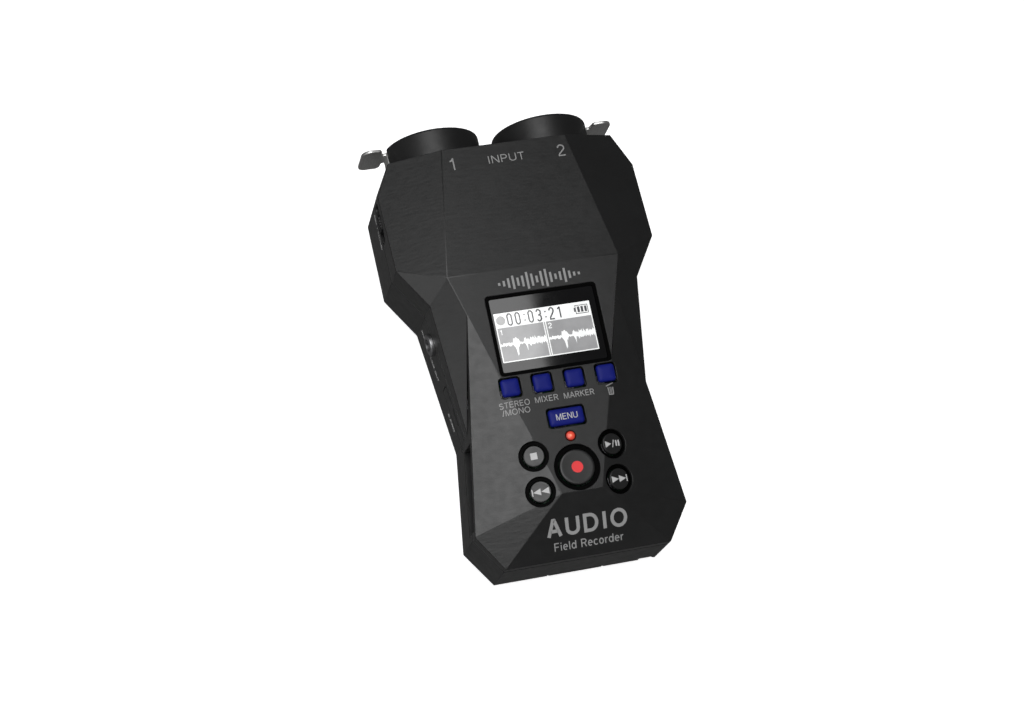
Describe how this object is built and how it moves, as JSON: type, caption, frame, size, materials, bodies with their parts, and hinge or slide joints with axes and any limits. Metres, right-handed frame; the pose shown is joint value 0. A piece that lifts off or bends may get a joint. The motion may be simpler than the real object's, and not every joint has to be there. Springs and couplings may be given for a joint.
{
  "type": "portable field recorder",
  "caption": "Handheld battery-powered audio recorder with a faceted case, combo microphone inputs, a display and transport keys.",
  "frame": {"origin": "under the middle of the recorder's box, on the surface that it lies on", "axes": "+X to the user's right, +Y towards the input sockets, +Z out of the front face"},
  "size_m": [0.0781, 0.132, 0.04],
  "materials": {
    "case_plastic": "fine grained moulded plastic",
    "rear_plastic": "fine grained moulded plastic",
    "lens_black": "polished acrylic",
    "panel_glass": "liquid crystal panel",
    "inner_white": "moulded",
    "inner_black": "moulded",
    "lamp_red": "translucent",
    "key_grey": "satin moulded",
    "key_blue": "satin silicone",
    "ring_black": "satin moulded",
    "board_green": "solder resist",
    "inner_metal": "plated",
    "chip_black": "moulded",
    "collar_black": "satin moulded",
    "insert_black": "moulded",
    "contact_gold": "plated",
    "lever_steel": "satin nickel plated",
    "spring_steel": "nickel plated",
    "ring_metal": "polished",
    "control_black": "satin moulded",
    "cell_wrap": "printed wrap",
    "screw_black": "black oxide"
  },
  "bodies": {
    "case": {"battery_1": "cell_wrap", "battery_2": "cell_wrap", "battery_plates": "spring_steel", "battery_springs": "spring_steel", "card_door_pin": "spring_steel", "card_socket": "inner_metal", "case_screws": "screw_black", "display_gasket": "inner_black", "display_lens": "lens_black", "display_panel": "panel_glass", "display_tray": "inner_white", "front_shell": "case_plastic", "input_board": "board_green", "input_board_chips": "chip_black", "key_board": "board_green", "key_board_standoffs": "inner_metal", "key_rings": "ring_black", "key_switches": "inner_metal", "lever_spring_1": "spring_steel", "lever_spring_2": "spring_steel", "line_jack": "insert_black", "line_jack_ring": "ring_metal", "main_board": "board_green", "main_board_chips": "chip_black", "phones_jack": "insert_black", "phones_jack_ring": "ring_metal", "power_switch": "inner_metal", "rear_shell": "rear_plastic", "record_lamp": "lamp_red", "socket_collar_1": "collar_black", "socket_collar_2": "collar_black", "socket_contacts_1": "contact_gold", "socket_contacts_2": "contact_gold", "socket_insert_1": "insert_black", "socket_insert_2": "insert_black", "speaker": "chip_black", "strap_bar": "rear_plastic", "tripod_insert": "contact_gold", "usb_port": "ring_metal", "usb_tongue": "inner_black", "volume_switches": "inner_metal"},
    "soft_key_1": {"soft_key_1": "key_blue"},
    "soft_key_2": {"soft_key_2": "key_blue"},
    "soft_key_3": {"soft_key_3": "key_blue"},
    "soft_key_4": {"soft_key_4": "key_blue"},
    "menu_key": {"menu_key": "key_blue"},
    "record_key": {"record_key": "key_grey"},
    "stop_key": {"stop_key": "key_grey"},
    "rewind_key": {"rewind_key": "key_grey"},
    "play_key": {"play_key": "key_grey"},
    "forward_key": {"forward_key": "key_grey"},
    "power_slider": {"power_slider": "control_black"},
    "volume_down_key": {"volume_down_key": "control_black"},
    "volume_up_key": {"volume_up_key": "control_black"},
    "card_door": {"card_door": "rear_plastic"},
    "battery_cover": {"battery_cover": "rear_plastic"},
    "release_lever_1": {"release_lever_1": "lever_steel"},
    "release_lever_2": {"release_lever_2": "lever_steel"}
  },
  "joints": [
    {"name": "soft_key_1_press", "type": "slide", "parent": "case", "child": "soft_key_1", "axis": [0, 0.0468, -0.9989], "range_m": [0, 0.0005], "stiffness_N_per_m": 350},
    {"name": "soft_key_2_press", "type": "slide", "parent": "case", "child": "soft_key_2", "axis": [0, 0.0468, -0.9989], "range_m": [0, 0.0005], "stiffness_N_per_m": 350},
    {"name": "soft_key_3_press", "type": "slide", "parent": "case", "child": "soft_key_3", "axis": [0, 0.0468, -0.9989], "range_m": [0, 0.0005], "stiffness_N_per_m": 350},
    {"name": "soft_key_4_press", "type": "slide", "parent": "case", "child": "soft_key_4", "axis": [0, 0.0468, -0.9989], "range_m": [0, 0.0005], "stiffness_N_per_m": 350},
    {"name": "menu_key_press", "type": "slide", "parent": "case", "child": "menu_key", "axis": [0, 0.0468, -0.9989], "range_m": [0, 0.0005], "stiffness_N_per_m": 350},
    {"name": "record_key_press", "type": "slide", "parent": "case", "child": "record_key", "axis": [0, 0.0468, -0.9989], "range_m": [0, 0.0005], "stiffness_N_per_m": 350},
    {"name": "stop_key_press", "type": "slide", "parent": "case", "child": "stop_key", "axis": [0.2468, 0.117, -0.962], "range_m": [0, 0.0005], "stiffness_N_per_m": 350},
    {"name": "rewind_key_press", "type": "slide", "parent": "case", "child": "rewind_key", "axis": [0.2468, 0.117, -0.962], "range_m": [0, 0.0005], "stiffness_N_per_m": 350},
    {"name": "play_key_press", "type": "slide", "parent": "case", "child": "play_key", "axis": [-0.2468, 0.117, -0.962], "range_m": [0, 0.0005], "stiffness_N_per_m": 350},
    {"name": "forward_key_press", "type": "slide", "parent": "case", "child": "forward_key", "axis": [-0.2468, 0.117, -0.962], "range_m": [0, 0.0005], "stiffness_N_per_m": 350},
    {"name": "volume_down_key_press", "type": "slide", "parent": "case", "child": "volume_down_key", "axis": [-1, 0.0084, 0], "range_m": [0, 0.0004], "stiffness_N_per_m": 350},
    {"name": "volume_up_key_press", "type": "slide", "parent": "case", "child": "volume_up_key", "axis": [-1, 0.0084, 0], "range_m": [0, 0.0004], "stiffness_N_per_m": 350},
    {"name": "release_lever_1_press", "type": "slide", "parent": "case", "child": "release_lever_1", "axis": [0, -1, 0], "range_m": [0, 0.002], "stiffness_N_per_m": 600},
    {"name": "release_lever_2_press", "type": "slide", "parent": "case", "child": "release_lever_2", "axis": [0, -1, 0], "range_m": [0, 0.002], "stiffness_N_per_m": 600},
    {"name": "power_slider_slide", "type": "slide", "parent": "case", "child": "power_slider", "axis": [0.0084, 1, 0], "range_m": [-0.0025, 0.0025]},
    {"name": "card_door_hinge", "type": "hinge", "parent": "case", "child": "card_door", "pos_m": [-0.02711, -0.01894, 0.0194], "axis": [0.1063, -0.9943, 0], "range_deg": [0, 95]},
    {"name": "battery_cover_slide", "type": "slide", "parent": "case", "child": "battery_cover", "axis": [0, -1, 0], "range_m": [0, 0.065]}
  ]
}
